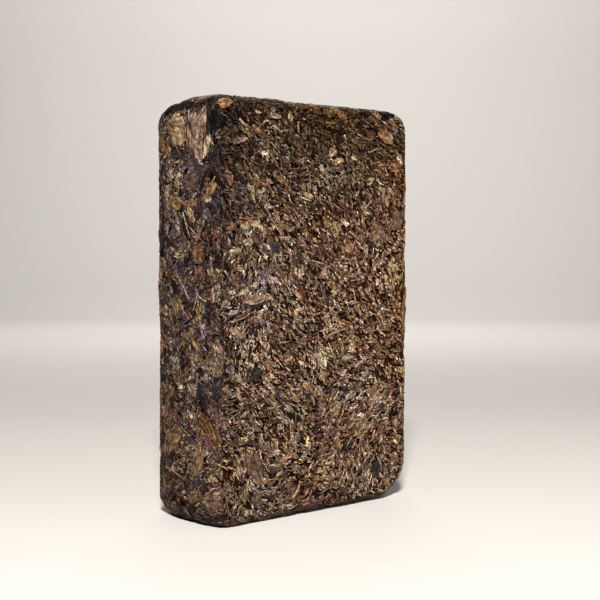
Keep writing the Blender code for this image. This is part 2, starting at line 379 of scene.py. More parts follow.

# painted shade and light together with the leaves' own tone, by area, where the brick is darker, paler,
# warmer or greyer: middle and reach in mm, and factors of red, green, blue
SHADE_AND_TONE_AREAS = (
    ((-68, -24, 180), (9, 8, 60), (0.35, 0.36, 0.40)),  # the near edge, painted shade, black and bluish towards the top
    ((-68, -24, 90), (9, 8, 50), (0.66, 0.65, 0.66)),
    ((-66, -26, 205), (12, 10, 26), (0.55, 0.57, 0.62)),
    ((-56, -28, 184), (8, 14, 14), (0.62, 0.62, 0.62)),
    ((-57, -28, 155), (8, 14, 10), (0.72, 0.72, 0.75)),
    ((-30, -28, 131), (13, 14, 15), (0.76, 0.76, 0.80)),
    ((-66, 8, 218), (9, 30, 7), (0.22, 0.23, 0.26)),  # the shoulder over the side's pale leaves
    ((0, -28, 216), (90, 14, 34), (0.38, 0.33, 0.24)),  # the top of the front
    ((48, -28, 180), (30, 10, 26), (0.92, 0.83, 0.75)),
    ((25, -28, 205), (25, 10, 9), (1.30, 1.25, 1.15)),
    ((40, -26, 220), (34, 10, 6), (1.60, 1.50, 1.30)),
    ((10, -28, 125), (75, 14, 55), (1.42, 1.38, 1.32)),
    ((0, -28, 42), (75, 14, 30), (1.36, 1.28, 1.20)),
    ((-45, -28, 130), (22, 14, 26), (1.10, 1.13, 1.22)),  # a painted bluish sheen
    ((64, -28, 130), (16, 14, 90), (1.18, 1.05, 0.80)),
    ((-60, -28, 170), (14, 14, 40), (0.97, 0.98, 1.04)),
    ((-42, -28, 182), (12, 10, 20), (0.76, 0.74, 0.70)),
    ((-36, -28, 103), (12, 10, 12), (1.20, 1.17, 1.15)),
    ((-60, -28, 43), (7, 8, 13), (1.32, 1.30, 1.25)),
    ((42, -28, 34), (26, 10, 14), (1.24, 1.22, 1.20)),
    ((-1, -28, 11), (14, 10, 8), (1.35, 1.32, 1.28)),
    ((15, -28, 16), (20, 10, 12), (1.20, 1.20, 1.18)),
    ((38, -28, 84), (20, 10, 15), (1.24, 1.22, 1.24)),
    ((-46, -28, 108), (14, 10, 18), (1.10, 1.14, 1.24)),
    ((-62, -26, 110), (10, 10, 55), (0.93, 0.97, 1.04)),
    ((-71, 0, 110), (8, 34, 110), (0.68, 0.70, 0.80)),  # the narrow side, painted darker and bluer as shade
    ((-71, 8, 165), (8, 16, 36), (1.00, 1.02, 1.12)),
    ((-70, 16, 38), (8, 18, 40), (1.02, 0.84, 0.67)),
    ((-70, 18, 102), (8, 12, 22), (1.02, 0.90, 0.72)),
    ((-71, 4, 10), (10, 26, 14), (0.60, 0.58, 0.60)),
    ((-70, 24, 20), (8, 14, 20), (0.78, 0.76, 0.76)),
    ((-64, -26, 7), (16, 10, 9), (0.68, 0.68, 0.72)),
    ((0, -26, 0), (90, 16, 4), (0.25, 0.23, 0.23)),  # the foot, on the front and the narrow side: painted shade under the rounded lower edge
    ((-68, 4, 0), (14, 40, 4), (0.30, 0.28, 0.28)),
)


def tints_by_place(draws, seats):
    """A random tint for each leaf, drawn darker or paler by where it lies, and darker round the edges as
    painted shade.
    """
    tint = 0.5 + TINT_SPREAD * draws.uniform(-0.5, 0.5, len(seats))
    tint += TINT_DRIFT * drift(seats.points, TINT_SIZE, TINT_FIELD)
    return np.clip(tint - EDGE_SHADE * seats.rounded, 0, 1)


def any_tints(draws, seats):
    return draws.uniform(0, 1, len(seats))


def cast(points):
    """The factors of red, green and blue that each place gives its leaves: a slow drift of tone, with painted
    shade and light by area.
    """
    colour = 1 + drift(points, CAST_SIZE, CAST_FIELD)[:, None] * CAST
    for middle, reach, factors in SHADE_AND_TONE_AREAS:
        away = (points / MM - middle) / reach
        near = np.exp(-(away ** 2).sum(axis=1))
        colour *= 1 + near[:, None] * (np.array(factors) - 1)
    return colour


HUE_SPREAD = (0.07, 0.0, 0.20)  # how much red, green and blue differ from leaf to leaf
HUE_MIDDLE, HUE_LEAST, HUE_MOST = -0.1, -2.2, 1.1


def own_hues(draws, count):
    """Factors of red, green and blue that make each leaf bluer or yellower than its kind."""
    return np.exp(np.clip(draws.normal(HUE_MIDDLE, 1, (count, 3)), HUE_LEAST, HUE_MOST) * HUE_SPREAD)


FLOW_SIZE = 30 * MM  # how far the lie of the leaves keeps to one way on the broad faces
FLOW_LEAN = radians(-45)  # most of them slope down to the right
FLOW_SWING = radians(55)
FLOW_SPREAD = radians(46)
LOOSE_FLOW = 0.3  # how much of the swirl stays in the areas below

# areas of the front whose leaves run a way of their own: across, up and reach in mm, lean in degrees
FLOWS = (
    (-46, 200, 22, -34), (8, 186, 14, -28), (50, 208, 18, -24), (-12, 163, 20, -48), (50, 165, 18, -60),
    (-12, 135, 22, -50), (-50, 114, 14, 38), (-12, 104, 18, -36), (50, 97, 20, -41), (-32, 58, 18, -40),
    (20, 55, 18, 42), (50, 51, 14, 22), (28, 30, 14, 66), (-12, 19, 12, 28),
)


def flow(points):
    """The lean that leaves near each point keep to on the broad faces."""
    swirl = FLOW_LEAN + FLOW_SWING * drift(points, FLOW_SIZE, FLOW_FIELD)
    # a leaf turned half round lies as before, so the ways are summed at twice their angle
    ways = LOOSE_FLOW * np.stack((np.cos(2 * swirl), np.sin(2 * swirl)), axis=1)
    for across, upward, reach, lean in FLOWS:
        away = np.hypot(points[:, 0] / MM - across, points[:, 2] / MM - upward) / reach
        share = np.exp(-away ** 2) * (points[:, 1] < 0)
        ways += share[:, None] * (cos(2 * radians(lean)), sin(2 * radians(lean)))
    return np.arctan2(ways[:, 1], ways[:, 0]) / 2


def leans(draws, seats, side_spread):
    """Leaves lie in slow swirls on the broad faces and every way on the narrow ones."""
    spread = np.where(seats.broad, FLOW_SPREAD, side_spread)
    return draws.uniform(-1, 1, len(seats)) * spread + np.where(seats.broad, flow(seats.points), pi / 2)


# ------------ laying the shapes on the skin

PROUD = 0.35 * MM  # pressing leaves nothing standing much further off the bed than this
SPRING = 0.22  # what is left of a height past that
GRAIN_SIZE = 10 * MM  # what one unit of the Grain map covers on a leaf


def pressed(height):
    """Heights over the bed after the mould has pressed the leaves flush."""
    return np.minimum(height, PROUD) + SPRING * np.maximum(height - PROUD, 0)


def bend_on(seats, local, lean, lift, tilt):
    """Copies of a shape, turned and bent to lie on the skin, one at each seat."""
    turn_x, turn_y = np.cos(lean)[:, None], np.sin(lean)[:, None]
    side = local[..., 0] * turn_x - local[..., 1] * turn_y
    up = local[..., 0] * turn_y + local[..., 1] * turn_x
    flat = (seats.points[:, None] + seats.across[:, None] * side[..., None]
            + seats.along[:, None] * up[..., None])
    foot, out = press_on(flat.reshape(-1, 3), 3)
    height = local[..., 2] + lift[:, None]
    height += side * tilt[:, 0:1] + up * tilt[:, 1:2]
    height = pressed(height) + seats.bed[:, None]
    cloud = foot + out * height.reshape(-1, 1)
    cloud[:, 2] = np.maximum(cloud[:, 2], LOWEST)
    return cloud


def add_object(name, data):
    thing = bpy.data.objects.new(name, data)
    bpy.context.scene.collection.objects.link(thing)
    return thing


def bmesh_object(name, form):
    mesh = bpy.data.meshes.new(name)
    form.to_mesh(mesh)
    form.free()
    return add_object(name, mesh)


def mesh_object(name, points, faces, smooth):
    mesh = bpy.data.meshes.new(name)
    mesh.vertices.add(len(points))
    mesh.vertices.foreach_set("co", points.astype(np.float32).ravel())
    mesh.loops.add(faces.size)
    mesh.loops.foreach_set("vertex_index", faces.astype(np.int32).ravel())
    mesh.polygons.add(len(faces))
    mesh.polygons.foreach_set("loop_start", np.arange(0, faces.size, 3, dtype=np.int32))
    mesh.update(calc_edges=True)
    if not smooth:
        mesh.shade_flat()
    return add_object(name, mesh)


def lay(draws, name, shapes, seats, sizes, lean, lift, tilt, tint, finish, rough=0.12, long_cells=2.0,
        smooth=False, plain=False):
    """Lay one copy of a shape on each seat and join them into one piece."""
    kind = draws.integers(0, len(shapes), len(seats))
    columns = int(np.ceil(np.sqrt(len(seats) / long_cells)))
    rows = int(np.ceil(len(seats) / columns))
    # painted shade and light by area, times each leaf's own hue; none for the listed pieces
    colour = np.ones((len(seats), 3)) if plain else cast(seats.points) * own_hues(draws, len(seats))
    clouds, faces, cells, grains, tints, depths, shades_and_tones = [], [], [], [], [], [], []
    start = done = 0
    for number, shape in enumerate(shapes):
        mine = np.flatnonzero(kind == number)
        if not len(mine):
            continue
        count, corners = len(mine), len(shape.points)
        local = shape.points[None] * (1 + draws.uniform(-rough, rough, (count, corners, 3)))
        local = local * sizes[mine][:, None, :] / 2
        clouds.append(bend_on(seats.take(mine), local, lean[mine], lift[mine], tilt[mine]))
        faces.append((shape.faces[None] + (start + np.arange(count) * corners)[:, None, None]).reshape(-1, 3))
        place = done + np.arange(count)
        corner = np.stack((place % columns, place // columns), axis=1)[:, None, :]
        cells.append(((corner + shape.cell_spots[None]) / (columns, rows)).reshape(-1, 2))
        own = draws.uniform(0, 50, (count, 1, 2))
        grain = shape.grain_spots[None] * sizes[mine][:, None, :2] / 2 / GRAIN_SIZE
        grains.append((grain + own).reshape(-1, 2))
        tints.append(np.repeat(tint[mine], corners))
        depths.append(np.tile(shape.sunk, count))
        shades_and_tones.append(np.repeat(np.hstack((colour[mine], np.ones((count, 1)))), corners, axis=0))
        start += count * corners
        done += count
    piece = mesh_object(name, np.concatenate(clouds), np.concatenate(faces), smooth)
    for layer, values in (("OFBake", cells), ("Grain", grains)):
        uv = piece.data.uv_layers.new(name=layer)
        uv.uv.foreach_set("vector", np.concatenate(values).astype(np.float32).ravel())
    for layer, form, key, values in (("tint", "FLOAT", "value", tints), ("sunk", "FLOAT", "value", depths),
                                     ("cast", "FLOAT_COLOR", "color", shades_and_tones)):
        shade = piece.data.attributes.new(layer, form, "POINT")
        shade.data.foreach_set(key, np.concatenate(values).astype(np.float32).ravel())
    piece.data.materials.append(finish)
    return piece


def strew(draws, name, shapes, seats, sizes, tints, finish, side_spread, lifts, tilt, **how):
    """Lay leaves that each have a lean, lift, tilt and tint of their own."""
    lean = leans(draws, seats, side_spread)
    lift = draws.uniform(*lifts, len(seats))
    tilts = draws.normal(0, tilt, (len(seats), 2))
    return lay(draws, name, shapes, seats, sizes, lean, lift, tilts, tints(draws, seats), finish, **how)


# ------------ finishes

def seen(red, green, blue):
    """A colour given as it is seen on a screen, 0 to 255, as the linear values of a shader."""
    shares = [c / 255 for c in (red, green, blue)]
    return tuple(s / 12.92 if s <= 0.04045 else ((s + 0.055) / 1.055) ** 2.4 for s in shares) + (1,)


def grey(value):
    return (value, value, value, 1)


WHITE = grey(1)
NOISE_ROUGHNESS = 0.6


def shades(*stops):
    """Stops of a colour range: the place of each, then its colour as it is seen on a screen."""
    return tuple((place, seen(*colour)) for place, *colour in stops)


class Finish:
    """A Principled material, with short ways to add its nodes."""

    def __init__(self, name, roughness, specular):
        self.material = bpy.data.materials.new(name)
        self.material.use_nodes = True
        self.nodes = self.material.node_tree.nodes
        self.links = self.material.node_tree.links
        self.shader = self.nodes["Principled BSDF"]
        self.fill(self.shader, {"Roughness": roughness, "Specular IOR Level": specular})

    def fill(self, node, inputs):
        for key, value in dict(inputs).items():
            if isinstance(value, bpy.types.NodeSocket):
                self.links.new(value, node.inputs[key])
            else:
                node.inputs[key].default_value = value

    def add(self, kind, settings=(), inputs=()):
        node = self.nodes.new(kind)
        for key, value in dict(settings).items():
            setattr(node, key, value)
        self.fill(node, inputs)
        return node

    def ramp(self, factor, *stops):
        node = self.add("ShaderNodeValToRGB", inputs={"Fac": factor})
        points = node.color_ramp.elements
        while len(points) < len(stops):
            points.new(0.5)
        for point, (place, colour) in zip(points, stops):
            point.position = place
            point.color = colour
        return node.outputs["Color"]

    def times(self, base, factors, share=1.0):
        node = self.add("ShaderNodeMix", {"data_type": "RGBA", "blend_type": "MULTIPLY"},
                        {"Factor": share, "A": base, "B": factors})
        return node.outputs["Result"]

    def times_add(self, vector, factors, added):
        node = self.add("ShaderNodeVectorMath", {"operation": "MULTIPLY_ADD"},
                        {0: vector, 1: factors, 2: added})
        return node.outputs["Vector"]

    def noise(self, vector, scale, detail):
        node = self.add("ShaderNodeTexNoise", inputs={"Vector": vector, "Scale": scale, "Detail": detail,
                                                      "Roughness": NOISE_ROUGHNESS})
        return node.outputs["Fac"]

    def attribute(self, name, output):
        return self.add("ShaderNodeAttribute", {"attribute_name": name}).outputs[output]

    def stretched(self, vector, scale):
        node = self.add("ShaderNodeMapping", inputs={"Vector": vector, "Scale": (*scale, 1.0)})
        return node.outputs["Vector"]

    def cells(self, vector, **settings):
        settings["voronoi_dimensions"] = "2D"
        return self.add("ShaderNodeTexVoronoi", settings, {"Vector": vector, "Scale": 1.0}).outputs

    def bump(self, height, strength, distance, **under):
        inputs = {"Strength": strength, "Distance": distance, "Height": height, **under}
        return self.add("ShaderNodeBump", inputs=inputs).outputs["Normal"]


# noise cells in a metre, for blotches of about a millimetre and smaller specks, clumps and dust
BLOTCHES, SPECKS, CLUMPS, DUST = 900, 2100, 420, 1800
SPECK_DARK = 0.35
SPECK_DEPTH = 0.25 * MM
BENT = (0.22, 0.22, 0)  # how far the creases wander
CREASE_DEPTH = 0.4 * MM
# each cell between the creases has a hue of its own: its least factors, and by how much they can be more
CELL_LEAST, CELL_SPAN = (0.85, 0.95, 0.79), (0.30, 0.10, 0.50)
# painted shade in the creases: factors from the middle of a crease outwards, the middle of each cell a little
# paler
CREASE_SHADE = ((0.0, (0.16, 0.07, 0.04, 1)), (0.08, (0.56, 0.48, 0.44, 1)), (0.18, WHITE), (0.6, grey(1.12)))
SHADOW_WARMTH = (1.9, 0.9, 0.5)  # deep between the leaves the last light is warm


def leaf_finish(name, stops, roughness=0.5, specular=0.05, fibre=0.55, mottle=0.5, shadow=0.97, glint=1.5,
                creases=(4.5, 10.0), wrinkles=(3.0, 17.0), fibre_depth=0.25 * MM, cracking=1.0,
                speckle=1.0, variety=0.8, patchy=0.3):
    """Dry leaf: one tint for each leaf out of a range, mottled, with fibres along it, painted shade in its
    creases and down its sides, and painted glints.
    """
    finish = Finish(name, roughness, specular)
    grain = finish.add("ShaderNodeUVMap", {"uv_map": "Grain"}).outputs["UV"]
    place = finish.add("ShaderNodeTexCoord").outputs["Object"]
    base = finish.ramp(finish.attribute("tint", "Fac"), *stops)
    # blotches and specks, some darker and some paler than the leaf, the palest specks painted glints
    blotch = finish.noise(place, BLOTCHES, 3)
    base = finish.times(base, finish.ramp(blotch, (0.35, grey(1 - mottle)), (0.52, WHITE),
                                          (0.70, grey(1 + mottle * 0.7))))
    specks = finish.noise(place, SPECKS, 2)
    base = finish.times(base, finish.ramp(specks, (0.40, grey(SPECK_DARK)), (0.50, WHITE),
                                          (0.60, grey(glint))), speckle)
    fibres = finish.noise(finish.stretched(grain, wrinkles), 1.0, 2)
    base = finish.times(base, finish.ramp(fibres, (0.38, grey(1 - fibre)), (0.55, WHITE),
                                          (0.68, grey(1 + fibre * 0.9))))
    # creases that part the leaf into cells, bent by a slow noise, painted dark as shade
    slow = finish.add("ShaderNodeTexNoise", inputs={"Vector": grain, "Scale": 6.0, "Detail": 2.0})
    sway = finish.stretched(finish.times_add(slow.outputs["Color"], BENT, grain), creases)
    crease = finish.cells(sway, feature="DISTANCE_TO_EDGE")["Distance"]
    cell = finish.cells(sway)
    base = finish.times(base, finish.times_add(cell["Color"], CELL_SPAN, CELL_LEAST), variety)
    depth = finish.add("ShaderNodeTexWhiteNoise", {"noise_dimensions": "3D"}, {"Vector": cell["Position"]})
    base = finish.times(base, finish.ramp(depth.outputs["Value"], (0.0, grey(1 - patchy)),
                                          (1.0, grey(1 + patchy))))
    # painted shade in the creases
    base = finish.times(base, finish.ramp(crease, *CREASE_SHADE), cracking)
    # painted shade and light by area, with each leaf's own hue
    base = finish.times(base, finish.attribute("cast", "Color"))
    # painted shade: each leaf darkens down its sunk sides towards its foot, warmest where deepest
    dark = (*[(1 - shadow) * warmth for warmth in SHADOW_WARMTH], 1)
    base = finish.times(base, finish.ramp(finish.attribute("sunk", "Fac"), (0.22, WHITE), (0.60, dark)))
    gloss = finish.ramp(blotch, (0.3, grey(roughness - 0.10)), (0.7, grey(roughness + 0.15)))
    bump = finish.bump(fibres, 0.8, fibre_depth)
    bump = finish.bump(specks, 0.8 * speckle, SPECK_DEPTH, Normal=bump)
    bump = finish.bump(crease, 0.7, CREASE_DEPTH, Normal=bump)
    finish.fill(finish.shader, {"Base Color": base, "Roughness": gloss, "Normal": bump})
    return finish.material


def core_finish():
    """The pressed mass between the leaves: nearly black brown dust and crumbs, kept this dark also as painted
    shade in the gaps.
    """
    finish = Finish("core_dust_and_shade", 0.8, 0.05)
    place = finish.add("ShaderNodeTexCoord").outputs["Object"]
    base = finish.ramp(finish.noise(place, CLUMPS, 4), *shades((0.3, 16, 6, 2), (0.5, 30, 14, 7),
                                                               (0.75, 54, 32, 20)))
    bump = finish.bump(finish.noise(place, DUST, 3), 0.7, 0.3 * MM)
    finish.fill(finish.shader, {"Base Color": base, "Normal": bump})
    return finish.material


# ------------ core

CORE_CELLS = (60, 26, 96)
CORE_DEPTH = 0.9 * MM  # how far the mass between the leaves lies under their bed
PLATE_SIZE = 4 * MM
PLATE_STEP = 0.35 * MM
PIT_SIZE = 2.6 * MM
PIT_DEPTH = 0.5 * MM


def tea_core():
    """The pressed mass, in the block's form, broken into small plates and pits."""
    form = bmesh.new()
    bmesh.ops.create_cube(form, size=1)
    for axis, cells in enumerate(CORE_CELLS):
        along = [e for e in form.edges if abs(e.verts[0].co[axis] - e.verts[1].co[axis]) > 0.5]
        bmesh.ops.subdivide_edges(form, edges=along, cuts=cells - 1, use_grid_fill=True)
    raw = np.array([v.co[:] for v in form.verts]) * BLOCK
    raw[:, 2] += MID_HEIGHT
    foot, out = press_on(raw, 6)
    plates = np.array([noise.cell(Vector(noise.voronoi(Vector(p))[1][0])) for p in foot / PLATE_SIZE])
    pits = np.array([noise.noise(Vector(p)) for p in foot / PIT_SIZE])
    height = relief(foot) - CORE_DEPTH + plates * PLATE_STEP + pits * PIT_DEPTH
    for vert, place in zip(form.verts, foot + out * height[:, None]):
        vert.co = place
        vert.co.z = max(vert.co.z, LOWEST)
    bmesh.ops.triangulate(form, faces=form.faces[:])
    bmesh.ops.recalc_face_normals(form, faces=form.faces[:])
    piece = bmesh_object("tea_core", form)
    piece.data.materials.append(core_finish())
    return piece


# ------------ the leaves

def sizes_of(draws, seats, length, spread, grown, slimness, thick):
    """Length, width and thickness for each seat: leaves of the narrow sides are larger."""
    lengths = length * np.exp(draws.normal(0, spread, len(seats))) * np.where(seats.broad, 1, grown)
    widths = lengths * draws.uniform(*slimness, len(seats))
    return np.stack((lengths, widths, draws.uniform(*thick, len(seats))), axis=1)


# name, count, share of the size of a chip, colour range
CHIP_KINDS = (
    ("charcoal_chips", 10400, 1.15, shades((0.0, 38, 16, 8), (0.5, 66, 52, 46), (1.0, 112, 102, 98))),
    ("brown_chips", 15900, 1.04, shades((0.0, 66, 38, 22), (0.5, 112, 92, 75), (1.0, 162, 146, 127))),
    ("olive_chips", 10300, 1.0, shades((0.0, 88, 68, 42), (0.5, 136, 121, 94), (1.0, 184, 173, 147))),
    ("russet_chips", 7900, 0.9, shades((0.0, 88, 44, 26), (0.5, 130, 97, 78), (1.0, 182, 158, 139))),
    ("tan_chips", 4700, 0.72, shades((0.0, 142, 124, 102), (0.5, 180, 163, 140), (1.0, 216, 201, 178))),
)
PATCH_SIZE = 12 * MM  # size of the areas where one kind of chip is common
TRIED = 1.5  # seats tried for each chip
KEPT, KEPT_DRIFT = 0.67, 0.33  # share of them kept, and how much it differs by area


def chips(draws, shape_draw):
    """The torn bits that make up most of the skin, one piece for each colour."""
    shapes = shapes_of(chip, shape_draw, 16)
    pieces = []
    for number, (name, count, share, stops) in enumerate(CHIP_KINDS):
        seats = scatter(draws, int(count * TRIED))
        common = KEPT + KEPT_DRIFT * drift(seats.points, PATCH_SIZE, number + PATCH_FIELDS)
        seats = seats.take(draws.uniform(0, 1, len(seats)) < common)
        sizes = sizes_of(draws, seats, length=3.0 * MM, spread=0.42, grown=1.3, slimness=(0.20, 0.50),
                         thick=(0.45 * MM, 0.9 * MM))
        sizes[:, :2] *= share
        finish = leaf_finish(name, stops, fibre=0.5, mottle=0.25, creases=(10.0, 19.0), wrinkles=(3.5, 18.0),
                             speckle=0.35, cracking=0.7, variety=1.0, patchy=0.7)
        pieces.append(strew(draws, name, shapes, seats, sizes, tints_by_place, finish, side_spread=pi / 2,
                            lifts=(-0.65 * MM, 0.4 * MM), tilt=0.25))
    return pieces


ROLL_HEIGHT = 0.8  # of a rolled leaf over its width


def rolled_leaves(draws, shape_draw):
    shapes = shapes_of(rolled_leaf, shape_draw, 10)
    seats = scatter(draws, 2100)
    sizes = sizes_of(draws, seats, length=6.5 * MM, spread=0.35, grown=1.3, slimness=(0.13, 0.24),
                     thick=(0.7 * MM, 1.2 * MM))
    sizes[:, 2] = sizes[:, 1] * ROLL_HEIGHT
    finish = leaf_finish("rolled_leaf", shades((0.0, 36, 20, 13), (0.4, 66, 47, 36), (0.7, 92, 68, 49),
                                               (1.0, 125, 109, 86)))
    return strew(draws, "rolled_leaves", shapes, seats, sizes, any_tints, finish, side_spread=radians(70),
                 lifts=(0, 0.5 * MM), tilt=0.06, long_cells=4, smooth=True)


HUES = {
    "shade": (27, 20, 19), "slate": (56, 50, 50), "purple": (90, 79, 80), "plum": (106, 82, 76),
    "red": (112, 64, 47), "orange": (134, 100, 72), "brown": (108, 85, 67), "dun": (140, 117, 98),
    "ochre": (132, 105, 74), "yellow": (150, 132, 97), "tan": (160, 136, 106), "pink": (160, 132, 114),
    "pale": (192, 176, 142),
}
HUE_NAMES = list(HUES)
HUE_BLUR = 0.03
# how common each hue is among the leaves that aren't picked
SIDE_HUES = {"shade": 7, "slate": 11, "purple": 5, "plum": 3, "red": 0.4, "orange": 2, "brown": 6, "ochre": 5,
             "yellow": 2, "tan": 3, "pink": 2, "pale": 0.5}


def hue_tint(name):
    return HUE_NAMES.index(name) / (len(HUES) - 1)


def hue_finish(name, gain=1.0, **looks):
    stops = [(hue_tint(hue), seen(*[gain * c for c in HUES[hue]])) for hue in HUE_NAMES]
    return leaf_finish(name, stops, **looks)


def mixed_hues(draws, seats):
    names, weights = list(SIDE_HUES), np.array(list(SIDE_HUES.values()), float)
    picks = draws.choice(len(names), len(seats), p=weights / weights.sum())
    blur = draws.uniform(-HUE_BLUR, HUE_BLUR, len(seats))
    return np.array([hue_tint(names[pick]) for pick in picks]) + blur


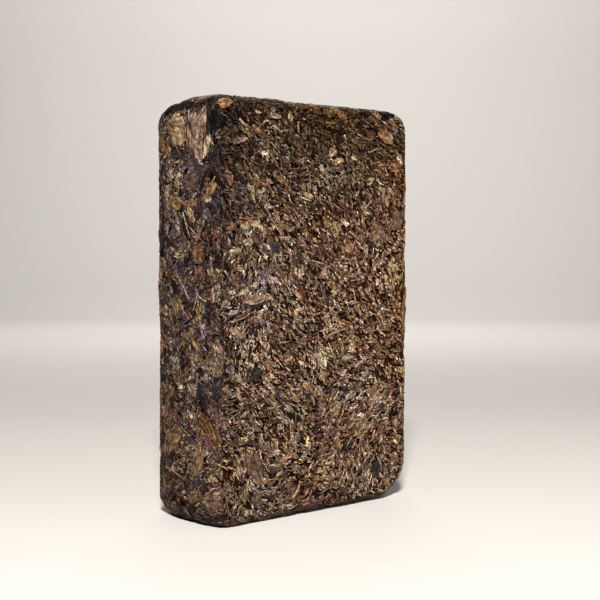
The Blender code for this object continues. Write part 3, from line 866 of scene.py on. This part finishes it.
# prominent leaves by side: across and up in mm, length and width in mm, lean in degrees, hue
PICKED_LEAVES = {"left": (
    (-3, 205, 20, 15, -25, "tan"), (9, 203, 18, 10, -88, "dun"), (16, 203, 22, 9, -93, "dun"),
    (14, 192, 13, 6, -62, "dun"), (20, 194, 12, 5, 256, "pale"), (-5, 213, 5, 5, 0, "orange"),
    (-2, 191, 16, 7, 5, "slate"), (16, 187, 5, 2, -45, "pale"), (-4, 174, 5, 3, -70, "orange"),
    (-15, 164, 9, 5, 90, "plum"), (23, 197, 7, 2, -48, "yellow"), (10, 212, 9, 6, 30, "slate"),
    (-14, 194, 7, 5, -65, "pink"), (-12, 183, 7, 6, -50, "pink"), (12, 182, 15, 12, 0, "purple"),
    (7, 177, 13, 8, 4, "plum"), (-4, 178, 11, 3, -70, "tan"), (24, 174, 13, 4.5, 56, "ochre"),
    (21, 168, 6, 4, 0, "tan"), (-3, 165, 15, 7, -27, "ochre"), (8, 166, 11, 4, 5, "ochre"),
    (8, 160, 9, 5, -49, "tan"), (-14, 172, 8, 5, 90, "tan"), (17, 162, 10, 6, -60, "slate"),
    (21, 160, 9, 5, -52, "purple"), (-5, 152, 12, 9, 0, "purple"), (-3, 153, 5, 3, -49, "pale"),
    (2, 145, 7, 5, -50, "plum"), (15, 139, 9, 7, 3, "ochre"), (3, 127, 13, 5, 21, "brown"),
    (-6, 129, 7, 4, 61, "orange"), (-16, 116, 6, 7, 80, "slate"), (-4, 113, 12, 8, -76, "ochre"),
    (22, 114, 7, 5, 0, "slate"), (11, 96, 14, 5, -56, "ochre"), (3, 97, 9, 4, 90, "orange"),
    (-11, 83, 22, 5, -65, "orange"), (-14, 62, 25, 4, 236, "orange"), (9, 70, 8, 5, -45, "pink"),
    (13, 34, 18, 7, 250, "ochre"), (8, 44, 6, 4, 0, "slate"), (10, 14, 8, 6, -76, "orange"),
    (2, 15, 5, 3, -70, "pink"), (-8, 45, 16, 9, 25, "ochre"),
), "front": (
    (-63, 218, 10, 8, 0, "orange"), (-46, 172, 8, 3.2, -70, "yellow"), (-52, 198, 9, 2.6, 13, "pink"),
    (-11, 190, 4, 2.5, 32, "pink"), (-37, 192, 4, 2.5, 11, "pale"), (-27, 179, 6.5, 4, -33, "orange"),
    (-39, 176, 10, 3, -12, "red"), (-60, 179, 9, 4, -76, "orange"), (-30, 212, 9, 2.5, -9, "tan"),
    (-20, 212, 5, 3, -83, "tan"), (-42, 204, 7, 3, -28, "orange"), (-49, 204, 5, 3.5, 4, "ochre"),
    (-11, 175, 6, 2.2, -66, "yellow"), (-8, 171, 6.5, 3.5, -3, "yellow"), (-3, 193, 9, 2.3, -71, "shade"),
    (-44, 156, 9, 4, -8, "yellow"), (-58, 154, 5, 4, 0, "orange"), (-50, 154, 6, 3, 10, "tan"),
    (-48, 146, 6.5, 4, 0, "tan"), (-56, 142, 6.5, 3, -4, "pale"), (-65, 139, 4.5, 4, 0, "yellow"),
    (-53, 133, 4, 3.2, 0, "yellow"), (-30, 143, 7, 5, -21, "slate"), (-29, 131, 12, 4, -40, "brown"),
    (-44, 117, 14, 5, 5, "pink"), (-42, 114, 11, 2.5, 12, "slate"), (-37, 112, 3, 2.4, -23, "pale"),
    (-58, 121, 4.5, 2.5, 38, "pale"), (-10, 117, 16, 3, -64, "red"), (-15, 118, 9, 2.2, -52, "tan"),
    (-56, 100, 8, 5, -46, "pink"), (-50, 89, 6, 3, 44, "yellow"), (-43, 78, 8, 4, 22, "slate"),
    (-33, 75, 7.5, 2.3, 4, "yellow"), (2, 83, 12, 6, -63, "pale"), (-16, 107, 7, 3.2, -53, "yellow"),
    (48, 207, 14, 7, -40, "orange"), (54, 205, 6, 4, -60, "pale"), (55, 175, 7, 2.4, -35, "pale"),
    (61, 194, 7, 3, -50, "pale"), (51, 170, 6, 3, -80, "yellow"), (34, 165, 7, 4, -70, "tan"),
    (13, 154, 6, 4.5, -60, "ochre"), (26, 193, 5, 2.6, -20, "tan"), (10, 195, 7, 4.5, 20, "tan"),
    (2, 186, 4.5, 3, -60, "pale"), (5, 158, 6, 3, -35, "yellow"), (4, 130, 5, 4, 80, "pink"),
    (27, 140, 8, 2.4, 5, "red"), (33, 119, 7, 5, -10, "tan"), (50, 127, 4, 2.2, 10, "pale"),
    (53, 122, 5, 2.0, -35, "pale"), (27, 90, 3.8, 3.2, 0, "orange"), (17, 75, 5.5, 5, 70, "pink"),
    (20, 83, 7, 4, 10, "yellow"), (45, 153, 14, 9, -20, "brown"), (60, 159, 12, 9, 60, "brown"),
    (-54, 68, 7, 3, -59, "tan"), (-41, 61, 4, 2, -58, "yellow"), (-34, 63, 9, 3, -35, "orange"),
    (-31, 61, 3, 2, -58, "pale"), (-29, 59, 4, 2.5, -41, "ochre"), (-29, 67, 7, 2.5, -85, "slate"),
    (-15, 65, 5, 2, -73, "orange"), (-20, 70, 6, 2, -31, "yellow"), (-50, 58, 6, 2, 31, "yellow"),
    (-46, 43, 6, 3, -6, "slate"), (-30, 40, 4, 2, -68, "tan"), (-29, 36, 5, 3, -6, "pale"),
    (-47, 40, 3, 1, -6, "pale"), (-44, 30, 15, 9, -69, "brown"), (-49, 32, 12, 3, -80, "plum"),
    (-54, 30, 8, 4, -96, "yellow"), (-11, 40, 5, 2.5, -41, "shade"), (-12, 44, 4, 3, -68, "slate"),
    (-7, 37, 3, 2, -59, "pale"), (-4, 61, 6, 1.5, -73, "pink"), (-42, 22, 7, 4, -28, "ochre"),
    (-50, 18, 7, 2.5, -97, "yellow"), (-47, 19, 4, 1.5, -79, "tan"), (-54, 20, 3, 1.5, 22, "orange"),
    (-43, 14, 9, 6, 58, "brown"), (-52, 20, 6, 2.5, 34, "slate"), (-30, 29, 9, 2, 1, "tan"),
    (-32, 27, 6, 3, -33, "slate"), (-8, 24, 5, 2, -42, "ochre"), (-36, 24, 4, 1.5, -64, "tan"),
    (-9, 6, 8, 2.5, 1, "orange"), (-23, 24, 5, 3, -71, "slate"), (2, 66, 5, 2, -70, "pale"),
    (0, 66, 3, 1.5, -73, "yellow"), (8, 66, 4, 4, 34, "slate"), (20, 65, 5, 4, -11, "slate"),
    (3, 57, 4, 4, 39, "pink"), (10, 55, 4, 2, -25, "yellow"), (30, 46, 5, 2.5, 51, "pink"),
    (38, 44, 6, 3, 18, "yellow"), (50, 41, 11, 2.5, -16, "ochre"), (61, 46, 11, 5, 71, "ochre"),
    (40, 64, 8, 3, 46, "ochre"), (49, 61, 5, 2.5, 53, "yellow"), (47, 53, 6, 4, 51, "slate"),
    (26, 66, 8, 4, -32, "brown"), (15, 45, 3, 1, -31, "pale"), (11, 42, 6, 5, 33, "purple"),
    (14, 40, 5, 2, 59, "tan"), (13, 36, 5, 2.5, 59, "orange"), (22, 34, 7, 4, 23, "slate"),
    (21, 29, 5, 2, 15, "orange"), (2, 32, 3, 2, -91, "orange"), (36, 32, 4, 4, 33, "yellow"),
    (57, 24, 5, 3, 71, "yellow"), (48, 25, 3, 2.5, 20, "yellow"), (54, 18, 9, 4, 16, "plum"),
    (8, 26, 5, 1.5, 15, "pale"), (11, 25, 4, 1.5, -64, "pale"), (15, 20, 4, 2.5, 11, "ochre"),
    (43, 19, 9, 7, 61, "slate"), (18, 10, 5, 4, 24, "slate"), (52, 10, 5, 4, 24, "ochre"),
    (35, 21, 4, 2, -33, "purple"), (30, 44, 4, 5, 34, "ochre"),
), "right": (
    (-28, 107, 27, 10, 88, "ochre"),
)}
# and prominent stalks
PICKED_STALKS = {"left": (
    (6, 204, 10, 1.0, 86, "shade"), (18, 194, 15, 1.0, 84, "shade"), (5, 155, 14, 1.0, -65, "pale"),
    (12, 148, 7, 1.2, -5, "tan"), (21, 146, 11, 1.3, -70, "red"), (25, 149, 9, 1.2, 83, "red"),
    (25, 132, 13, 1.4, -79, "pink"), (25, 115, 14, 1.2, -76, "red"), (17, 118, 8, 1.0, -29, "pale"),
    (8, 107, 14, 1.6, 30, "shade"), (9, 47, 20, 1.1, -25, "purple"), (-7, 25, 19, 1.1, -13, "pink"),
    (-11, 42, 20, 1.3, 25, "orange"), (24, 10, 7, 1.2, -74, "pink"), (6, 211, 7, 1.2, -71, "pale"),
    (-14, 199, 9, 1.0, 40, "pink"),
), "front": (
    (-46, 201, 4, 1.5, 28, "orange"), (-29, 205, 7, 1.2, -28, "pale"), (-23, 204, 6, 1.3, 4, "tan"),
    (-15, 202, 4, 1.3, -20, "pink"), (-49, 182, 12, 1.2, -71, "red"), (-44, 168, 4, 1.8, -65, "pink"),
    (-31, 188, 10, 1.7, -55, "orange"), (-16, 189, 8, 1.3, -38, "red"), (-14, 207, 6, 1.7, -84, "yellow"),
    (-41, 213, 4, 1.5, -6, "pale"), (-36, 208, 4, 1.5, 11, "pale"), (-51, 207, 6, 1.5, -31, "pale"),
    (-45, 159, 17, 1.3, 5, "orange"), (-42, 166, 5, 1.1, 55, "tan"), (-54, 107, 11, 1.4, 17, "pink"),
    (-35, 83, 9, 1.6, -4, "pink"), (-1, 108, 8, 1.1, 15, "tan"), (-7, 95, 14, 1.4, 8, "orange"),
    (37, 168, 8, 1.5, 40, "pink"), (38, 180, 5, 1.8, 25, "pale"), (35, 187, 9, 1.4, -45, "orange"),
    (3, 180, 7, 1.4, -45, "pink"), (17, 181, 6, 1.2, 45, "pink"), (39, 198, 8, 1.2, 20, "tan"),
    (9, 211, 8, 1.6, 5, "orange"), (58, 218, 10, 1.8, -5, "yellow"), (19, 204, 3, 1.3, -50, "pale"),
    (8, 134, 12, 1.4, 22, "pink"), (54, 126, 14, 2.2, -70, "yellow"), (13, 97, 19, 1.7, 17, "pink"),
    (26, 102, 7, 1.1, 25, "tan"), (22, 94, 8, 1.8, 45, "tan"), (8, 109, 13, 1.4, 38, "pale"),
    (24, 113, 4, 1.3, 10, "pale"), (-15, 14, 8, 1.4, 60, "pale"), (17, 17, 9, 1.4, 60, "pale"),
    (-49, 66, 5, 0.9, -58, "red"), (-41, 65, 5, 1.1, -33, "orange"), (-51, 52, 8, 0.9, -45, "orange"),
    (-46, 47, 4, 1.1, -48, "pale"), (-35, 46, 6, 1, -41, "orange"), (-25, 44, 4, 0.7, -48, "pale"),
    (-36, 37, 6, 0.9, -22, "orange"), (-19, 50, 7, 1.3, -41, "pink"), (-17, 39, 10, 1, -22, "tan"),
    (-33, 32, 5, 0.9, -30, "orange"), (-15, 25, 9, 1.6, -44, "pink"), (6, 63, 3, 1, 26, "pink"),
    (13, 59, 3, 1.3, 50, "pink"), (20, 55, 3, 1, 24, "pale"), (0, 52, 5, 1, 33, "pink"),
    (31, 52, 10, 1.3, 35, "orange"), (20, 49, 6, 0.9, 11, "pink"), (42, 42, 9, 1.1, 13, "orange"),
    (59, 56, 8, 1.3, 19, "pink"), (63, 61, 5, 1.5, -80, "pale"), (61, 66, 4, 1.4, -56, "pale"),
    (51, 50, 5, 1.6, 49, "pink"), (37, 26, 5, 1.4, 38, "orange"), (58, 20, 4, 1.5, 25, "pale"),
    (54, 32, 4, 0.9, -21, "orange"), (17, 18, 6, 1.4, 37, "red"), (37, 26, 7, 1.4, 40, "pale"),
)}
PICKED_THICKNESS = 1.2 * MM
ROOTED = 0.7 * MM  # lift of what is picked out to lie on top
STALK_LIFT = 0.2 * MM  # of the picked stalks over the picked leaves
EDGE_LEAF_LIFT = 4.7 * MM  # before the mould presses it
EDGE_LEAF_TILT = 0.15
EDGE_LEAF_DEPTH = 5 * MM


def picked(sides):
    """Seats, sizes, leans and tints of the listed pieces."""
    places, sizes, lean, tints = [], [], [], []
    for side, rows in sides.items():
        for across, upward, length, width, turn, hue in rows:
            across, upward = across * MM, upward * MM
            places.append({"left": (-WIDTH / 2, -across, upward), "right": (WIDTH / 2, across, upward),
                           "front": (across, -THICKNESS / 2, upward)}[side])
            sizes.append((length * MM, width * MM, PICKED_THICKNESS))
            lean.append(radians(turn))
            tints.append(hue_tint(hue))
    return Seats(np.array(places)), np.array(sizes), np.array(lean), np.array(tints)


def picked_leaves(draws, shapes):
    """The prominent leaves. The last one is rooted at its lower end and stands off the edge at its upper."""
    seats, sizes, lean, tints = picked(PICKED_LEAVES)
    COVERS.add(seats, sizes, lean)
    lift, tilt = np.full(len(seats), ROOTED), np.zeros((len(seats), 2))
    lift[-1], tilt[-1, 1], sizes[-1, 2] = EDGE_LEAF_LIFT, EDGE_LEAF_TILT, EDGE_LEAF_DEPTH
    finish = hue_finish("picked_leaf", gain=1.04, roughness=0.42, specular=0.08, fibre=0.5, mottle=0.4,
                        shadow=0.94, glint=1.25, creases=(1.2, 3.2), wrinkles=(2.0, 9.0),
                        fibre_depth=0.4 * MM, cracking=0.7, variety=0.4)
    return lay(draws, "picked_leaves", shapes, seats, sizes, lean, lift, tilt, tints, finish, rough=0.05,
               plain=True)


# none of the blackest leaves lies low beside an upright edge, where it would read as a hole
LOW = 80 * MM
BESIDE = 12 * MM  # from the middle of a narrow side


def large_leaves(draws, shapes):
    """Large crumpled leaves over the narrow sides."""
    seats = scatter(draws, 2000)
    seats = seats.take(~seats.broad & ~COVERS.hides(seats.points, WELL_CLEAR))
    sizes = sizes_of(draws, seats, length=10 * MM, spread=0.30, grown=1.0, slimness=(0.35, 0.75),
                     thick=(0.9 * MM, 1.4 * MM))
    lean = draws.uniform(-pi, pi, len(seats))
    COVERS.add(seats, sizes, lean)
    lift, tilt = draws.uniform(0.1 * MM, 0.5 * MM, len(seats)), draws.normal(0, 0.10, (len(seats), 2))
    tints = mixed_hues(draws, seats)
    black = tints < hue_tint("slate") / 2
    low = (seats.points[:, 2] < LOW) & (np.abs(seats.points[:, 1]) > BESIDE)
    tints[black & low] = hue_tint("brown")
    finish = hue_finish("large_leaf", gain=1.10, roughness=0.42, specular=0.06, fibre=0.72, mottle=0.45,
                        shadow=0.94, glint=1.4, creases=(2.0, 5.0), wrinkles=(2.2, 10.0),
                        fibre_depth=0.5 * MM, cracking=1.0, variety=0.8)
    return lay(draws, "large_leaves", shapes, seats, sizes, lean, lift, tilt, tints, finish, rough=0.05)


def picked_stalks(draws, shape_draw):
    shapes = shapes_of(stalk, shape_draw, 8)
    seats, sizes, lean, tints = picked(PICKED_STALKS)
    sizes[:, 2] = sizes[:, 1]
    lift, tilt = np.full(len(seats), ROOTED + STALK_LIFT), np.zeros((len(seats), 2))
    finish = hue_finish("picked_stalk", fibre=0.3, mottle=0.3, shadow=0.6, glint=1.15)
    return lay(draws, "picked_stalks", shapes, seats, sizes, lean, lift, tilt, tints, finish, long_cells=5,
               smooth=True, rough=0.06, plain=True)


BROAD_FACE_SHARE = 0.35  # of the middling leaves that would lie on the broad faces


def broad_leaves(draws, shape_draw):
    """Middling leaves, here and there among the chips."""
    shapes = shapes_of(pressed_leaf, shape_draw, 12, long=6, wide=3)
    seats = scatter(draws, 1430)
    seats = seats.take(~seats.broad | (draws.uniform(0, 1, len(seats)) < BROAD_FACE_SHARE))
    sizes = sizes_of(draws, seats, length=5.5 * MM, spread=0.30, grown=1.2, slimness=(0.35, 0.65),
                     thick=(0.7 * MM, 1.1 * MM))
    finish = hue_finish("broad_leaf", gain=1.08, fibre=0.55, mottle=0.5, shadow=0.94, glint=1.3,
                        creases=(3.0, 7.0), wrinkles=(2.2, 10.0), fibre_depth=0.4 * MM)
    return strew(draws, "broad_leaves", shapes, seats, sizes, mixed_hues, finish, side_spread=pi / 2,
                 lifts=(0, 0.5 * MM), tilt=0.06, rough=0.06)


# name, count, length and how it spreads and grows on the narrow sides, colour range
STALK_KINDS = (
    ("red_stalks", 1300, (8 * MM, 0.45, 1.2),
     shades((0.0, 87, 50, 32), (0.5, 128, 92, 69), (1.0, 188, 162, 136))),
    ("straw_stalks", 750, (5 * MM, 0.4, 1.1),
     shades((0.0, 125, 107, 78), (0.5, 171, 153, 125), (1.0, 217, 205, 182))),
)
THINNEST = 0.4 * MM
THICKER = 0.9 * MM  # by how much the thickest stalk is thicker


def stalks(draws, shape_draw):
    shapes = shapes_of(stalk, shape_draw, 10)
    pieces = []
    for name, count, lengths, stops in STALK_KINDS:
        seats = scatter(draws, count)
        sizes = sizes_of(draws, seats, *lengths, slimness=(0.08, 0.13), thick=(0.8 * MM, 1.2 * MM))
        sizes[:, 1] = THINNEST + draws.uniform(0, 1, len(seats)) ** 2 * THICKER
        sizes[:, 2] = sizes[:, 1]
        finish = leaf_finish(name, stops, mottle=0.35)
        pieces.append(strew(draws, name, shapes, seats, sizes, any_tints, finish, side_spread=radians(70),
                            lifts=(0.1 * MM, 0.7 * MM), tilt=0.03, long_cells=5, smooth=True, rough=0.08))
    return pieces


def crumbs(draws, shape_draw):
    shapes = shapes_of(crumb, shape_draw, 8)
    seats = scatter(draws, 4500)
    sizes = sizes_of(draws, seats, length=0.9 * MM, spread=0.3, grown=1.0, slimness=(0.5, 0.9),
                     thick=(0.3 * MM, 0.6 * MM))
    finish = leaf_finish("crumb", shades((0.0, 47, 27, 15), (0.5, 99, 74, 59), (0.8, 134, 111, 91),
                                         (1.0, 180, 163, 142)))
    return strew(draws, "crumbs", shapes, seats, sizes, any_tints, finish, side_spread=pi,
                 lifts=(0.3 * MM, 0.9 * MM), tilt=0.1)


# ------------ floor, light and camera

SWEEP_WIDTH = 7.0
SWEEP_FRONT = 3.2  # how far the floor reaches in front of the brick
SWEEP_BACK = 1.8
SWEEP_RISE = 0.7  # radius of the curve from floor to wall
SWEEP_TOP = 2.6


def stage():
    """A pale floor that curves up into a wall behind the brick, square to the camera."""
    form = bmesh.new()
    bmesh.ops.create_grid(form, x_segments=1, y_segments=1, size=0.5)
    bmesh.ops.scale(form, verts=form.verts, vec=(SWEEP_WIDTH, SWEEP_FRONT + SWEEP_BACK, 1))
    bmesh.ops.translate(form, verts=form.verts, vec=(0, (SWEEP_BACK - SWEEP_FRONT) / 2, 0))
    far = [e for e in form.edges if all(v.co.y > SWEEP_BACK - 0.01 for v in e.verts)]
    bmesh.ops.spin(form, geom=far, cent=(0, SWEEP_BACK, SWEEP_RISE), axis=(1, 0, 0), dvec=(0, 0, 0),
                   angle=pi / 2, steps=16)
    far = [e for e in form.edges if all(v.co.z > SWEEP_RISE - 0.01 for v in e.verts)]
    wall = new_corners(bmesh.ops.extrude_edge_only(form, edges=far))
    bmesh.ops.translate(form, verts=wall, vec=(0, 0, SWEEP_TOP))
    bmesh.ops.rotate(form, verts=form.verts, matrix=Matrix.Rotation(-CAMERA_TURN, 3, "Z"))
    bmesh.ops.recalc_face_normals(form, faces=form.faces[:])
    floor = bmesh_object("floor", form)
    floor.data.shade_smooth()
    finish = Finish("pale_floor", 0.8, 0.2)
    finish.fill(finish.shader, {"Base Color": seen(200, 196, 190)})
    floor.data.materials.append(finish.material)


BRICK_MIDDLE = (0, 0, 0.12)
# name, place, what it shines at, width, power and colour, in metres and watts
LIGHTS = (
    ("key", (-0.72, -0.85, 1.05), BRICK_MIDDLE, 0.22, 46, (1, 0.975, 0.95)),
    ("fill", (0.55, -1.0, 0.30), BRICK_MIDDLE, 0.8, 3, (0.96, 0.97, 1)),
    ("backdrop", (0.9, 0.9, 1.5), (1.9, 2.3, 0.5), 1.6, 26, (1, 1, 1)),
    ("back", (1.0, 1.2, 1.0), BRICK_MIDDLE, 1.0, 5, (1, 1, 1)),
)
ROOM_COLOUR = (0.80, 0.80, 0.82, 1)
ROOM_LIGHT = 0.08


def room():
    """Soft studio lights in a dim grey room."""
    for name, place, target, width, power, colour in LIGHTS:
        data = bpy.data.lights.new(name, "AREA")
        data.shape = "DISK"
        data.size = width
        data.energy = power
        data.color = colour
        light = add_object(name, data)
        light.location = place
        light.rotation_euler = (Vector(target) - Vector(place)).to_track_quat("-Z", "Y").to_euler()
    world = bpy.data.worlds.new("studio")
    bpy.context.scene.world = world
    world.use_nodes = True
    background = world.node_tree.nodes["Background"]
    background.inputs["Color"].default_value = ROOM_COLOUR
    background.inputs["Strength"].default_value = ROOM_LIGHT
    bpy.context.scene.view_settings.view_transform = "Standard"


CAMERA_PLACE = (-409.1 * MM, -493.5 * MM, 140.1 * MM)
CAMERA_TURN = 0.704  # radians from looking along +Y towards +X
CAMERA_DIP = 0.040
CAMERA_FOCUS = 1150 / 600  # focal length over the width of the frame
SENSOR_WIDTH = 36


def camera():
    data = bpy.data.cameras.new("camera")
    data.sensor_width = SENSOR_WIDTH
    data.lens = SENSOR_WIDTH * CAMERA_FOCUS
    eye = add_object("camera", data)
    eye.location = CAMERA_PLACE
    eye.rotation_euler = (pi / 2 - CAMERA_DIP, 0, -CAMERA_TURN)
    bpy.context.scene.camera = eye


LAYING_SEED, SHAPE_SEED = 4, 7


def main():
    draws = np.random.default_rng(LAYING_SEED)
    shape_draw = random.Random(SHAPE_SEED)
    pieces = [tea_core()]
    leaf_shapes = shapes_of(pressed_leaf, shape_draw, 12, long=9, wide=5)
    pieces += [picked_leaves(draws, leaf_shapes), large_leaves(draws, leaf_shapes)]
    pieces.append(picked_stalks(draws, shape_draw))
    pieces += chips(draws, shape_draw)
    pieces += [rolled_leaves(draws, shape_draw), broad_leaves(draws, shape_draw)]
    pieces += stalks(draws, shape_draw)
    pieces.append(crumbs(draws, shape_draw))
    for piece in pieces:
        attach(piece, "root")
        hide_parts("tea_brick")
    stage()
    room()
    camera()


main()
